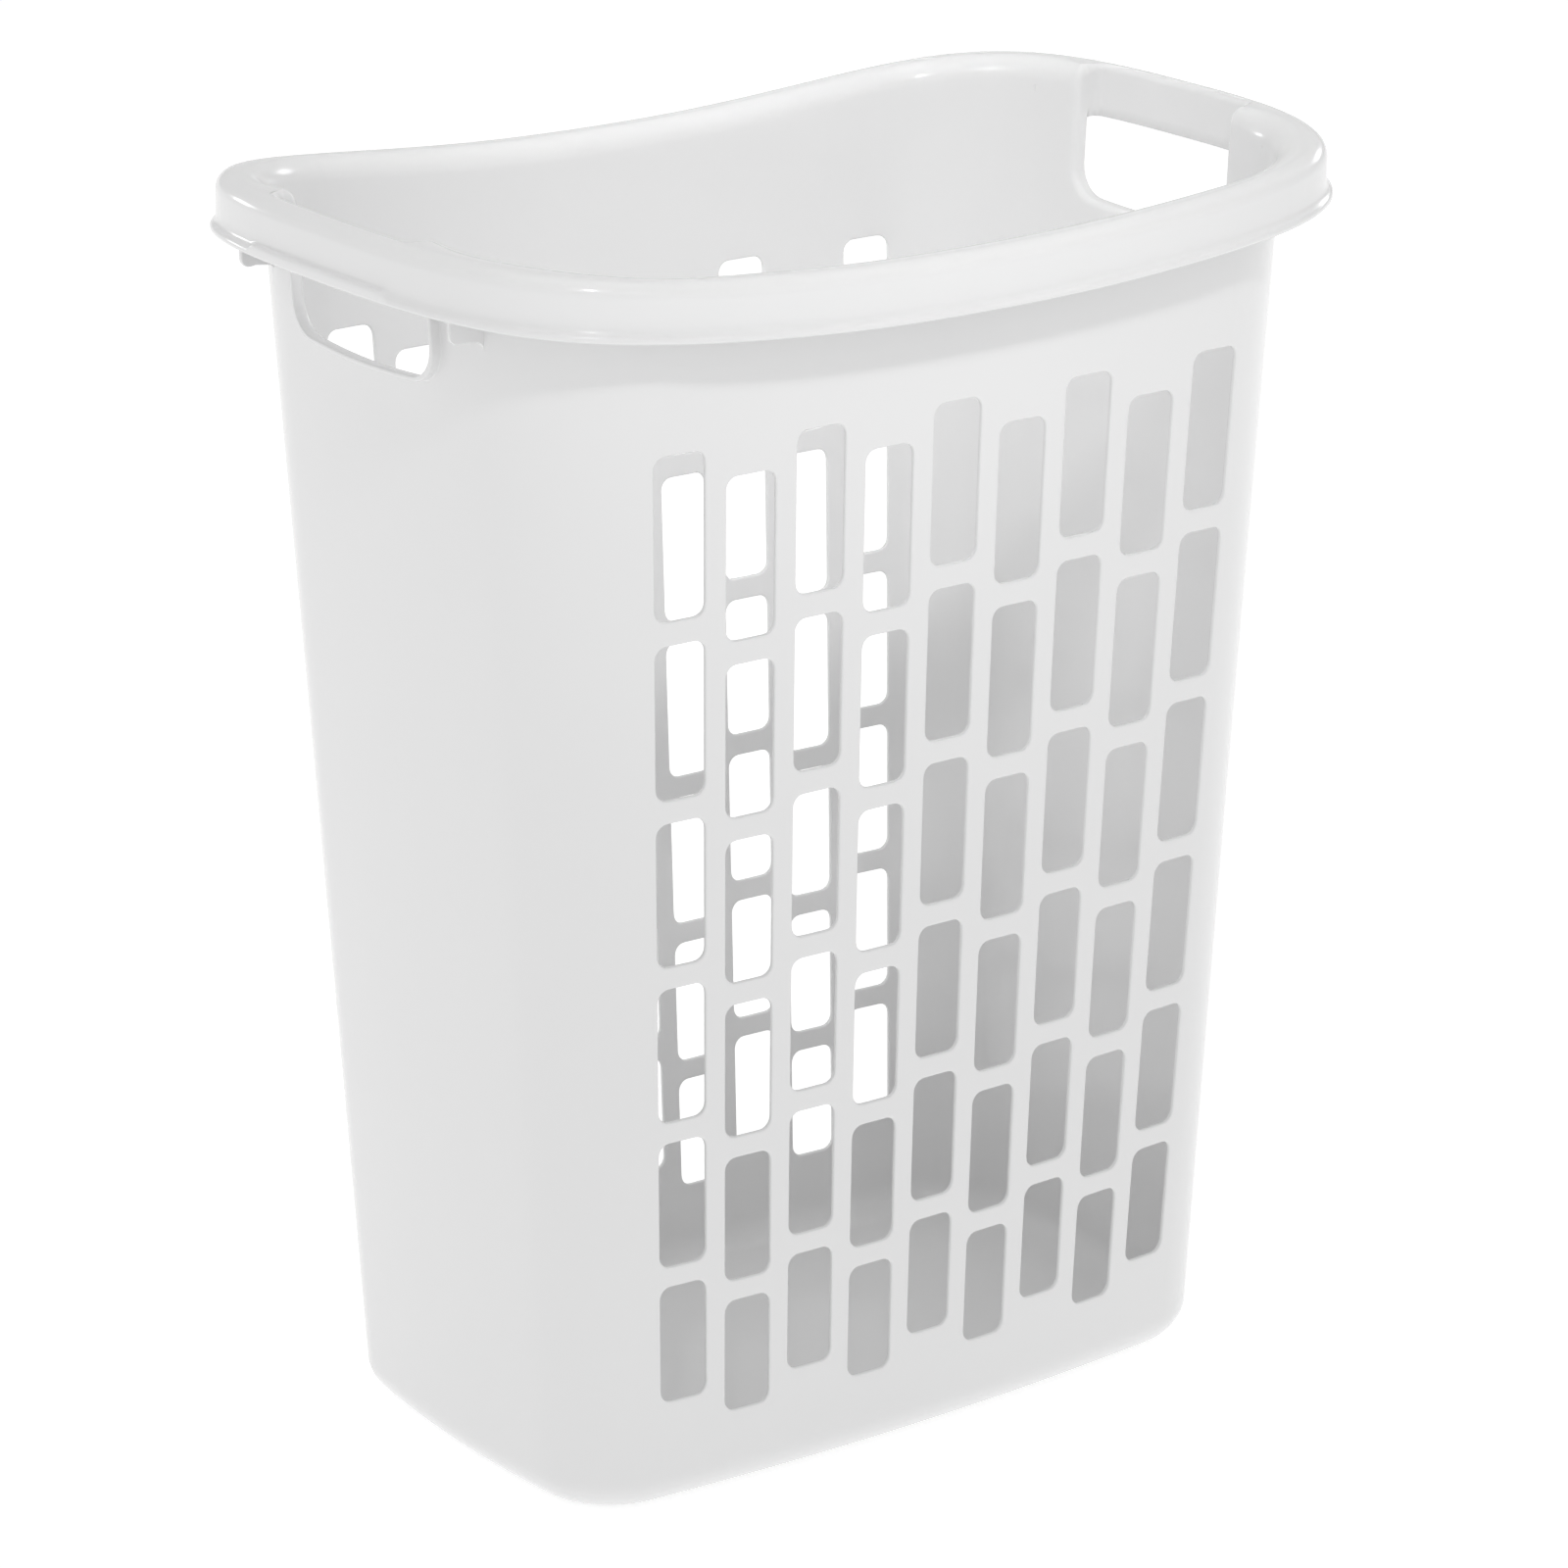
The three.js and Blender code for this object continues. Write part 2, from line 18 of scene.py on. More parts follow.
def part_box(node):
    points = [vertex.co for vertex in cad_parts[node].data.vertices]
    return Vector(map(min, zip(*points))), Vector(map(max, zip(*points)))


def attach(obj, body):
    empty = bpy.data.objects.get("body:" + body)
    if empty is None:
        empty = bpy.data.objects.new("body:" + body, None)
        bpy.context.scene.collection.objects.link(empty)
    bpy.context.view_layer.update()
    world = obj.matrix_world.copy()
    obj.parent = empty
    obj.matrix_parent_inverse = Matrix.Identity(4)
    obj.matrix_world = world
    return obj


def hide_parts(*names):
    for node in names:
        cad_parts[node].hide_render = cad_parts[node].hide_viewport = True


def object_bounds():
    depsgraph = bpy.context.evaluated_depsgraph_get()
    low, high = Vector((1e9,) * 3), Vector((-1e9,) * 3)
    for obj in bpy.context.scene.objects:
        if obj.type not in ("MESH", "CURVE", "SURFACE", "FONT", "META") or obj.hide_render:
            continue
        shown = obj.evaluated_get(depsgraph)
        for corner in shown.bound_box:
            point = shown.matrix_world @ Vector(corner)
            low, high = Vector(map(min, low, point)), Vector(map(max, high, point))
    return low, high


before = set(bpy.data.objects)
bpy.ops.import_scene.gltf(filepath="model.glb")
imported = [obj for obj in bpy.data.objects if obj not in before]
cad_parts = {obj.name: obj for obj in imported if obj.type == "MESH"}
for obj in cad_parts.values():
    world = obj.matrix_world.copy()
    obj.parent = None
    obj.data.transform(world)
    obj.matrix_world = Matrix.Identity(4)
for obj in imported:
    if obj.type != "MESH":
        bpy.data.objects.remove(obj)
cad_low, cad_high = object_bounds()

MM = 0.001


def size_mm(node):
    low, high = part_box(node)
    return (high - low) / MM


# ---- driving dimensions ------------------------------------------------------------------
HEIGHT = cad_high.z / MM
WALL = size_mm("floor_panel").z
BASE_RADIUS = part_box("base_edge_front")[1].z / MM
BEAD = 3.2

# Walls: half length and half depth at the floor, their draft, the corner radius and its
# growth with height, and the bulge of the walls in plan.
HALF_LENGTH = 198.1
LENGTH_DRAFT = 0.0550
HALF_DEPTH = 119.3
DEPTH_DRAFT = 0.041
CORNER_RADIUS = 36.5
CORNER_GROWTH = 0.0448
LONG_BOW = 7.04
LONG_BOW_FADE = 0.0113
LONG_BOW_AT = 153.9
END_BOW = 6.86e-4

# Vent slots.
COLUMNS = 9
ROWS = 6
COLUMN_PITCH = 38.5
SLOT_WIDTH = 27.2
SLOT_TOP = 527.3
CONVERGENCE = 1.944e-4
ROW_PITCH = 82.0
ROW_SHRINK = 0.0466
SLOT_HEIGHT = 69.2
SLOT_SHRINK = 0.0511
STAGGER = 15.5
LAST_LOW_TRIM = 2.2
SLOT_CORNER = 6.0
SLOT_EDGE = 0.85
SLOT_SUPPORT = 2.0

# Rolled rim: its outside is a superellipse, and its crown rises to the ends.
SKIRT_HALF_LENGTH = cad_high.x / MM - BEAD
SKIRT_HALF_DEPTH = 164.1
SKIRT_END_POWER = 6.55
SKIRT_SIDE_POWER = 2.95
CROWN_RISE = 9.3
CROWN_RISE_AT = 192.4
CROWN_STEP = 2.3
CROWN_STEP_FROM = 32.6
CROWN_STEP_OVER = 174.6
CROWN_MID_HEIGHT = HEIGHT - CROWN_STEP - CROWN_RISE * (SKIRT_HALF_LENGTH / CROWN_RISE_AT) ** 2
CROWN_RADIUS = 7.8
RIM_ROOT = 27.0
RIM_PLAN_HEIGHT = 585.0
GRIP_PLAN_HEIGHT = 605.0
INNER_FILLET = (9.5, 11.0)

# Handles: the opening in each end wall, its lip, and the grip above it.
OPENING_HALF_WIDTH = 57.9
OPENING_BOTTOM = 553.0
OPENING_SAG = 2.5
OPENING_CORNER = 16.0
LIP_RADIUS = 3.15
LIP_REACH = 5.0
GRIP_CROWN = 12.0
GRIP_CORNER = 4.0
GRIP_ROOT = 26.2
GRIP_FILLET = (2.9, 3.3)
NOTCH_FILLET = (6.0, 8.0)
ROLL_HALF_WIDTH = 60.0
ROLL_FADE = 6.0
GUSSET_AT = 88.5
GUSSET_BOTTOM = 579.0
GUSSET_THICKNESS = 2.6
GUSSET_CORNER = 4.2
GUSSET_SETBACK = 4.0
GUSSET_EMBED = 1.7
GUSSET_EDGE = 0.45

# Mesh density.
LINE_STEP = 5.4
CORNER_STEPS = 16
END_STEPS = 36
UPPER_STEPS = 9
BASE_STEPS = 9
GRIP_STEPS = 20
EASE_ROUNDS = 12
FLOOR_RINGS = (0.97, 0.75, 0.5, 0.25)

FRONT, CORNER_FR, RIGHT, CORNER_BR, BACK, CORNER_BL, LEFT, CORNER_FL = range(8)
CORNER_NAMES = {
    CORNER_FR: "front_right",
    CORNER_BR: "back_right",
    CORNER_BL: "back_left",
    CORNER_FL: "front_left",
}


def smooth(value, start, end):
    """0 before start, 1 after end, and a smooth rise between them."""
    t = min(1.0, max(0.0, (value - start) / (end - start)))
    return t * t * (3 - 2 * t)


def mix(a, b, t):
    return a + (b - a) * t


# ---- plan outline of the walls -----------------------------------------------------------


def half_length(z):
    return HALF_LENGTH + LENGTH_DRAFT * z


def half_depth(z):
    return HALF_DEPTH + DEPTH_DRAFT * z


def corner_radius(z):
    return CORNER_RADIUS + CORNER_GROWTH * z


def straight_half(segment, z):
    """Half the length of the straight stretch of a front, back or end segment."""
    along = half_length(z) if segment % 4 == 0 else half_depth(z)
    return along - corner_radius(z)


def bowed(x, y, z):
    """Bulges the rounded rectangle's walls in plan."""
    pull_y = (LONG_BOW - LONG_BOW_FADE * z) * (x / LONG_BOW_AT) ** 2
    pull_x = END_BOW * y * y
    return x - pull_x * x / half_length(z), y - pull_y * y / half_depth(z)


def plain_outline(segment, share, z):
    a, b, r = half_length(z), half_depth(z), corner_radius(z)
    quarter = segment // 2
    along, across = (b, a) if quarter % 2 else (a, b)
    if segment % 2 == 0:
        p = (2 * share - 1) * (along - r)
        q = -across
    else:
        angle = share * math.pi / 2
        p = along - r + r * math.sin(angle)
        q = -(across - r) - r * math.cos(angle)
    return [(p, q), (-q, p), (-p, -q), (q, -p)][quarter]


def outline(segment, share, z):
    """Outer face of the wall at height z, and its outward direction in plan."""
    step = 1e-4
    x, y = bowed(*plain_outline(segment, share, z), z)
    x0, y0 = bowed(*plain_outline(segment, share - step, z), z)
    x1, y1 = bowed(*plain_outline(segment, share + step, z), z)
    size = math.hypot(x1 - x0, y1 - y0)
    return x, y, (y1 - y0) / size, -(x1 - x0) / size


def wall_pair(segment, share, z):
    """Points on the inner and the outer face of the wall."""
    x, y, nx, ny = outline(segment, share, z)
    return (x - nx * WALL, y - ny * WALL, z), (x, y, z)


# ---- stations round the walls ------------------------------------------------------------
# A station is one upright line of the mesh: a rule for its segment and share at height z.

# Where a column's upright lines lie, as shares of its pitch.
SUB_LINES = [(u / COLUMN_PITCH) + 0.5 for u in (-19.25, -15.2, -11.2, -7.6, 0, 7.6, 11.2, 15.2)]
PER_COLUMN = len(SUB_LINES)


def converge(z):
    return 1 + CONVERGENCE * (z - SLOT_TOP)


def column_line(column, z):
    """Distance of the upright line left of a column from the wall's middle."""
    return (column - COLUMNS / 2) * COLUMN_PITCH * converge(z)


def long_place(segment, x, z):
    """Segment and share where a long wall's outline lies at x, measured from its middle."""
    a, b, r = half_length(z), half_depth(z), corner_radius(z)
    half = a - r
    plain = abs(x) / (1 - END_BOW * b * b / a)
    if plain <= half:
        return segment, 0.5 + 0.5 * math.copysign(plain, x) / half
    for _ in range(6):
        angle = math.asin((plain - half) / r)
        y = b - r + r * math.cos(angle)
        plain = abs(x) / (1 - END_BOW * y * y / a)
    share = angle / (math.pi / 2)
    return (segment + 1, share) if x > 0 else ((segment + 7) % 8, 1 - share)


def long_station(segment, column, t, z):
    return long_place(segment, mix(column_line(column, z), column_line(column + 1, z), t), z)


def corner_station(segment, t, z):
    """A place in a corner, which begins or ends where the slotted wall beside it does."""
    start = long_place(FRONT, column_line(COLUMNS, z), z)[1]
    return segment, mix(start, 1, t) if segment % 4 == 1 else mix(0, 1 - start, t)


def make_stations():
    stations = []
    first = {}
    for segment in range(8):
        first[segment] = len(stations)
        if segment % 4 == 0:
            for column in range(COLUMNS):
                for t in SUB_LINES:
                    stations.append(lambda z, s=segment, c=column, t=t: long_station(s, c, t, z))
        elif segment % 2:
            for i in range(CORNER_STEPS):
                stations.append(lambda z, s=segment, t=i / CORNER_STEPS: corner_station(s, t, z))
        else:
            for i in range(END_STEPS):
                stations.append(lambda z, s=segment, t=i / END_STEPS: (s, t))
    first[8] = len(stations)
    return stations, first


STATIONS, FIRST = make_stations()


def last_of(segment):
    """Index of the station that begins the next segment."""
    return FIRST[segment + 1]


# ---- heights of the mesh lines -----------------------------------------------------------


def slot_span(column, row):
    low = column % 2 == 1
    sunk = row - ROW_SHRINK * (row * (row - 1) / 2 - 2 * row)
    top = SLOT_TOP - ROW_PITCH * sunk - (STAGGER if low else 0)
    trim = LAST_LOW_TRIM if low and row == ROWS - 1 else 0
    height = SLOT_HEIGHT * (1 - SLOT_SHRINK * (row - 2.5)) - trim
    return top - height, top


def row_boundaries(column):
    """Heights that divide a column into one cell for each slot, from the top down."""
    spans = [slot_span(column, row) for row in range(ROWS)]
    edge = 6.0
    heights = [spans[0][1] + edge]
    heights += [(spans[i][0] + spans[i + 1][1]) / 2 for i in range(ROWS - 1)]
    return heights + [spans[-1][0] - edge]


UPPER_FROM = 540.0
KEYS = sorted({BASE_RADIUS, UPPER_FROM, *row_boundaries(0), *row_boundaries(1)})


def make_lines():
    lines = [KEYS[0]]
    for low, high in zip(KEYS, KEYS[1:]):
        count = max(1, math.ceil((high - low) / LINE_STEP))
        lines += [low + (high - low) * (i + 1) / count for i in range(count)]
    return lines


LINES = make_lines()
UPPER = len(LINES) - 1
TOP = UPPER + UPPER_STEPS


def line_index(z):
    return min(range(len(LINES)), key=lambda i: abs(LINES[i] - z))


# ---- outside of the rim ------------------------------------------------------------------


def crown_height(x):
    s = min(1.0, max(0.0, (abs(x) - CROWN_STEP_FROM) / CROWN_STEP_OVER))
    step = CROWN_STEP * (0.5 - 0.5 * math.cos(math.pi * s))
    return CROWN_MID_HEIGHT + step + CROWN_RISE * (x / CROWN_RISE_AT) ** 2


def skirt_level(x, y):
    end = (abs(x) / SKIRT_HALF_LENGTH) ** SKIRT_END_POWER
    return end + (abs(y) / SKIRT_HALF_DEPTH) ** SKIRT_SIDE_POWER


def skirt_normal(x, y):
    gx = SKIRT_END_POWER * (abs(x) / SKIRT_HALF_LENGTH) ** (SKIRT_END_POWER - 1)
    gy = SKIRT_SIDE_POWER * (abs(y) / SKIRT_HALF_DEPTH) ** (SKIRT_SIDE_POWER - 1)
    gx = math.copysign(gx / SKIRT_HALF_LENGTH, x)
    gy = math.copysign(gy / SKIRT_HALF_DEPTH, y)
    size = math.hypot(gx, gy)
    return gx / size, gy / size


def skirt_along(x, y, nx, ny):
    """Where a ray from a wall point meets the outside of the skirt."""
    near, far = 0.0, 60.0
    for _ in range(40):
        mid = (near + far) / 2
        if skirt_level(x + nx * mid, y + ny * mid) < 1:
            near = mid
        else:
            far = mid
    return x + nx * near, y + ny * near


def skirt_at_end(side, y):
    share = 1 - (abs(y) / SKIRT_HALF_DEPTH) ** SKIRT_SIDE_POWER
    return side * SKIRT_HALF_LENGTH * share ** (1 / SKIRT_END_POWER), y


def root_height(segment, share):
    x, y, nx, ny = outline(segment, share, RIM_PLAN_HEIGHT)
    return crown_height(skirt_along(x, y, nx, ny)[0]) - RIM_ROOT


ROOTS = [root_height(*place(RIM_PLAN_HEIGHT)) for place in STATIONS]


def line_height(station, j):
    if j <= UPPER:
        return LINES[j]
    return mix(UPPER_FROM, ROOTS[station], (j - UPPER) / UPPER_STEPS)


# ---- the shell ---------------------------------------------------------------------------


class Shell:
    """Points, faces with the name of their region, and the back point of each face point."""

    def __init__(self):
        self.points = []
        self.partner = {}
        self.faces = []
        self.regions = []

    def point(self, p):
        self.points.append(p)
        return len(self.points) - 1

    def pair(self, face_point, back_point):
        a = self.point(face_point)
        self.partner[a] = self.point(back_point)
        return a

    def face(self, corners, region):
        kept = [c for i, c in enumerate(corners) if c != corners[i - 1]]
        if len(kept) > 2:
            self.faces.append(kept)
            self.regions.append(region)

    def sheet(self, a, b, c, d, region):
        """One cell of the shell, its corners anticlockwise as its back side is seen."""
        back = self.partner
        self.face([d, c, b, a], region)
        self.face([back[a], back[b], back[c], back[d]], region)

    def lip(self, d, c, region):
        """Closes the shell along its upper edge, from d to c."""
        self.face([c, d, self.partner[d], self.partner[c]], region)

    def sill(self, a, b, region):
        """Closes the shell along its lower edge, from a to b."""
        self.face([a, b, self.partner[b], self.partner[a]], region)

    def strip(self, lower, upper, region):
        for i in range(len(lower) - 1):
            self.sheet(lower[i], lower[i + 1], upper[i + 1], upper[i], region)


shell = Shell()
wall_points = {}


def wall_point(station, j):
    """The shared point of the wall at a station and a line."""
    station %= len(STATIONS)
    if (station, j) not in wall_points:
        z = line_height(station, j)
        wall_points[station, j] = shell.pair(*wall_pair(*STATIONS[station](z), z))
    return wall_points[station, j]


def wall_grid(first, last, low, high, region):
    for j in range(low, high):
        lower = [wall_point(s, j) for s in range(first, last + 1)]
        upper = [wall_point(s, j + 1) for s in range(first, last + 1)]
        shell.strip(lower, upper, region)


# ---- slotted long walls ------------------------------------------------------------------


def slot_point(segment, column, u, z, offset):
    """Point of the long wall at u from a column's middle, offset outwards from its outer face."""
    x = ((column - (COLUMNS - 1) / 2) * COLUMN_PITCH + u) * converge(z)
    px, py, nx, ny = outline(*long_place(segment, x, z), z)
    return px + nx * offset, py + ny * offset, z


def slot_places(column, row, bottom_line, top_line):
    """Where each point round a cell goes on the slot's outline.

    Each place is (u, z) on the outline, and the direction away from the slot there.
    """
    bottom, top = slot_span(column, row)
    half = SLOT_WIDTH / 2
    flat = half - SLOT_CORNER
    heights = [LINES[j] for j in range(bottom_line, top_line + 1)]
    straight = [z for z in heights if bottom + SLOT_CORNER <= z <= top - SLOT_CORNER]
    below = sum(z < straight[0] for z in heights[1:])
    above = sum(z > straight[-1] for z in heights[:-1])
    across = (-flat, 0.0, flat)
    beside = 3

    def arc(cx, cz, start, count, skip_first):
        for i in range(count):
            step = i + 1 if skip_first else i
            angle = math.radians(start + 90 * step / count)
            d = (math.cos(angle), math.sin(angle))
            yield cx + SLOT_CORNER * d[0], cz + SLOT_CORNER * d[1], *d

    low, high = bottom + SLOT_CORNER, top - SLOT_CORNER
    places = [(u, bottom, 0.0, -1.0) for u in across]
    places += arc(flat, low, -90, beside + below, True)
    places += [(half, z, 1.0, 0.0) for z in straight]
    places += arc(flat, high, 0, beside + above, False)
    places += [(-u, top, 0.0, 1.0) for u in across]
    places += arc(-flat, high, 90, beside + above, True)
    places += [(-half, z, -1.0, 0.0) for z in reversed(straight)]
    places += arc(-flat, low, 180, beside + below, False)
    return places


def cell_loop(first, bottom_line, top_line):
    """Points round a cell in the order of slot_places, from the left end of the flat bottom."""
    last = first + PER_COLUMN
    loop = [(s, bottom_line) for s in range(first, last)]
    loop += [(last, j) for j in range(bottom_line, top_line)]
    loop += [(s, top_line) for s in range(last, first, -1)]
    loop += [(first, j) for j in range(top_line, bottom_line, -1)]
    start = loop.index((first + 3, bottom_line))
    return [wall_point(*key) for key in loop[start:] + loop[:start]]


def ring_strip(lower, upper, region):
    shell.strip(lower + lower[:1], upper + upper[:1], region)


def slotted_cell(segment, column, row, first, bottom_line, top_line, region):
    outer = cell_loop(first, bottom_line, top_line)
    places = slot_places(column, row, bottom_line, top_line)
    assert len(outer) == len(places)

    def at(grow, offset):
        return [
            slot_point(segment, column, u + du * grow, z + dz * grow, offset)
            for u, z, du, dz in places
        ]

    for grow in (SLOT_SUPPORT, SLOT_EDGE):
        inner = [shell.pair(a, b) for a, b in zip(at(grow, -WALL), at(grow, 0))]
        ring_strip(outer, inner, region)
        outer = inner
    # Rounded edge on the inner face, side of the slot, rounded edge on the outer face.
    turn = [math.radians(a) for a in (30, 60, 90)]
    section = [(SLOT_EDGE * (1 - math.sin(t)), -WALL + SLOT_EDGE * (1 - math.cos(t))) for t in turn]
    section += [(grow, -WALL - offset) for grow, offset in reversed(section)]
    ring = outer
    for grow, offset in section:
        following = [shell.point(p) for p in at(grow, offset)]
        join_rings(ring, following, region)
        ring = following
    join_rings(ring, [shell.partner[v] for v in outer], region)


def join_rings(ring, following, region):
    count = len(ring)
    for i in range(count):
        n = (i + 1) % count
        shell.face([ring[n], ring[i], following[i], following[n]], region)


def long_wall(segment, region):
    for column in range(COLUMNS):
        first = FIRST[segment] + column * PER_COLUMN
        bounds = [line_index(z) for z in row_boundaries(column)]
        wall_grid(first, first + PER_COLUMN, bounds[0], TOP, region)
        wall_grid(first, first + PER_COLUMN, 0, bounds[-1], region)
        for row in range(ROWS):
            slotted_cell(segment, column, row, first, bounds[row + 1], bounds[row], region)


# ---- end walls with their handle openings ------------------------------------------------


def end_face(y, z):
    return bowed(half_length(z), y, z)[0]


def end_point(side, y, z, offset):
    """Point near an end wall, offset outwards from its outer face. side is 1 or -1."""
    return side * (end_face(y, z) + offset), y, z


def lip_section():
    """Section across the edge of an opening, from the wall to the tip of the lip.

    Each step is the distance from the edge and the offset, for the face and the back.
    """
    centre = LIP_RADIUS - WALL
    steps = [(8.0, -WALL, 8.0, 0.0)]
    for i in range(7):
        t = math.radians(15 * i)
        s, c = math.sin(t), math.cos(t)
        face = (LIP_RADIUS * (1 - s), centre - LIP_RADIUS * c)
        back = (LIP_RADIUS - centre * s, centre * (1 - c))
        steps.append((*face, *back))
    steps.append((0.0, LIP_REACH - 0.8, WALL, LIP_REACH - 0.8))
    steps.append((0.15, LIP_REACH - 0.25, WALL - 0.15, LIP_REACH - 0.25))
    steps.append((0.6, LIP_REACH, WALL - 0.6, LIP_REACH))
    return steps


LIP_SECTION = lip_section()
# Rings between the wall's grid and the opening's edge, and the ring where the lip begins.
FADE_RINGS = 3
LIP_RING = FADE_RINGS + 2


def opening_path(top):
    """The opening's edge as a function of its share of the length, from top left to top right.

    Returns a function giving (y, z) and the direction away from the opening.
    """
    flat = OPENING_HALF_WIDTH - OPENING_CORNER
    sag = OPENING_SAG * (flat / OPENING_HALF_WIDTH) ** 2
    centre = OPENING_BOTTOM + sag + OPENING_CORNER
    side = top - centre
    arc = OPENING_CORNER * math.pi / 2
    total = 2 * side + 2 * arc + 2 * flat

    def at(share):
        mirrored = share > 0.5
        d = total * (1 - share if mirrored else share)
        if d <= side:
            y, z, dy, dz = -OPENING_HALF_WIDTH, top - d, -1.0, 0.0
        elif d <= side + arc:
            angle = (d - side) / OPENING_CORNER
            dy, dz = -math.cos(angle), -math.sin(angle)
            y, z = -flat + OPENING_CORNER * dy, centre + OPENING_CORNER * dz
        else:
            y = -flat + (d - side - arc)
            z = OPENING_BOTTOM + OPENING_SAG * (y / OPENING_HALF_WIDTH) ** 2
            dy, dz = 0.0, -1.0
        return (-y, z, -dy, dz) if mirrored else (y, z, dy, dz)

    return at


end_rings = {}


def end_wall(segment, side, wall_region, lip_region):
    first, last = FIRST[segment], last_of(segment)
    low = line_index(row_boundaries(0)[0])
    wall_grid(first, last, 0, low, wall_region)
    keys = [(first, j) for j in range(TOP, low, -1)]
    keys += [(s, low) for s in range(first, last)]
    keys += [(last, j) for j in range(low, TOP + 1)]
    outer = [wall_point(*key) for key in keys]
    corners = np.array([shell.points[v][1:] for v in outer])
    lengths = np.hypot(*np.diff(corners, axis=0).T)
    shares = np.concatenate([[0], np.cumsum(lengths)]) / lengths.sum()
    top = ROOTS[first + END_STEPS // 2]
    path = opening_path(top)
    # y runs from left to right as the wall is seen from outside, on either end.
    places = [path(share) for share in shares]

    def ring_at(step):
        ring = []
        for y, z, dy, dz in places:
            face_y, face_z = y + dy * step[0], z + dz * step[0]
            back_y, back_z = y + dy * step[2], z + dz * step[2]
            face = end_point(side, side * face_y, face_z, step[1])
            back = end_point(side, side * back_y, back_z, step[3])
            ring.append((face, back))
        return ring

    rings = [outer]
    edge = ring_at(LIP_SECTION[0])
    for i in range(1, FADE_RINGS + 1):
        t = i / (FADE_RINGS + 1)
        points = []
        for v, (face, back) in zip(outer, edge):
            y = mix(shell.points[v][1], face[1], t)
            z = mix(shell.points[v][2], face[2], t)
            points.append((end_point(side, y, z, -WALL), end_point(side, y, z, 0.0)))
        rings.append([shell.pair(*p) for p in points])
    for step in LIP_SECTION:
        rings.append([shell.pair(*p) for p in ring_at(step)])
    for i in range(len(rings) - 1):
        region = wall_region if i + 1 <= LIP_RING else lip_region
        shell.strip(rings[i], rings[i + 1], region)
    for d, c in zip(rings[-1], rings[-1][1:]):
        shell.lip(d, c, lip_region)
    end_rings[segment] = rings


# ---- rim ---------------------------------------------------------------------------------


class Place:
    """One section of the rim.

    inner(z) gives the face point of its inner side at z, into is the direction into the
    material there, outer and away are the skirt's point and its outward direction. drop is
    the depth of the section below the crown, and crown_into is into at the crown's edge.
    """

    def __init__(self, root, inner, into, outer, fillet, region, web=None):
        self.root = root
        self.drop = RIM_ROOT if root is not None else GRIP_ROOT
        self.inner = inner
        self.into = into
        self.outer = outer
        self.away = skirt_normal(*outer)
        self.crown = crown_height(outer[0])
        self.fillet = fillet
        self.crown_into = into
        self.region = region
        self.web = web


def wall_place(station, region=None):
    place = STATIONS[station]
    segment, share = place(RIM_PLAN_HEIGHT)
    x, y, nx, ny = outline(segment, share, RIM_PLAN_HEIGHT)

    def inner(z):
        return wall_pair(*place(z), z)[0][:2]

    outer = skirt_along(x, y, nx, ny)
    names = {FRONT: "front_rim", BACK: "back_rim"}
    name = names[segment] if segment % 4 == 0 else "rim_corner_" + CORNER_NAMES.get(segment, "")
    return Place(wall_point(station, TOP), inner, (nx, ny), outer, INNER_FILLET, region or name)


def end_place(side, hand, reach, offset, into, outer_y, root, fillet, region, web=None):
    """A section near a handle. hand is -1 left of the opening and 1 right of it.

    reach is the distance of its inner side from the middle of the end, and into is
    given as (away from the opening, outwards).
    """
    y = side * hand * reach

    def inner(z):
        return end_point(side, y, z, offset)[:2]

    direction = (side * into[1], side * hand * into[0])
    outer = skirt_at_end(side, side * hand * outer_y)
    return Place(root, inner, direction, outer, fillet, region, web)


def grip_offset(y):
    """Offset of the grip's inner side from the end wall's outer face."""
    return skirt_at_end(1, y)[0] - GRIP_CROWN - end_face(y, GRIP_PLAN_HEIGHT)


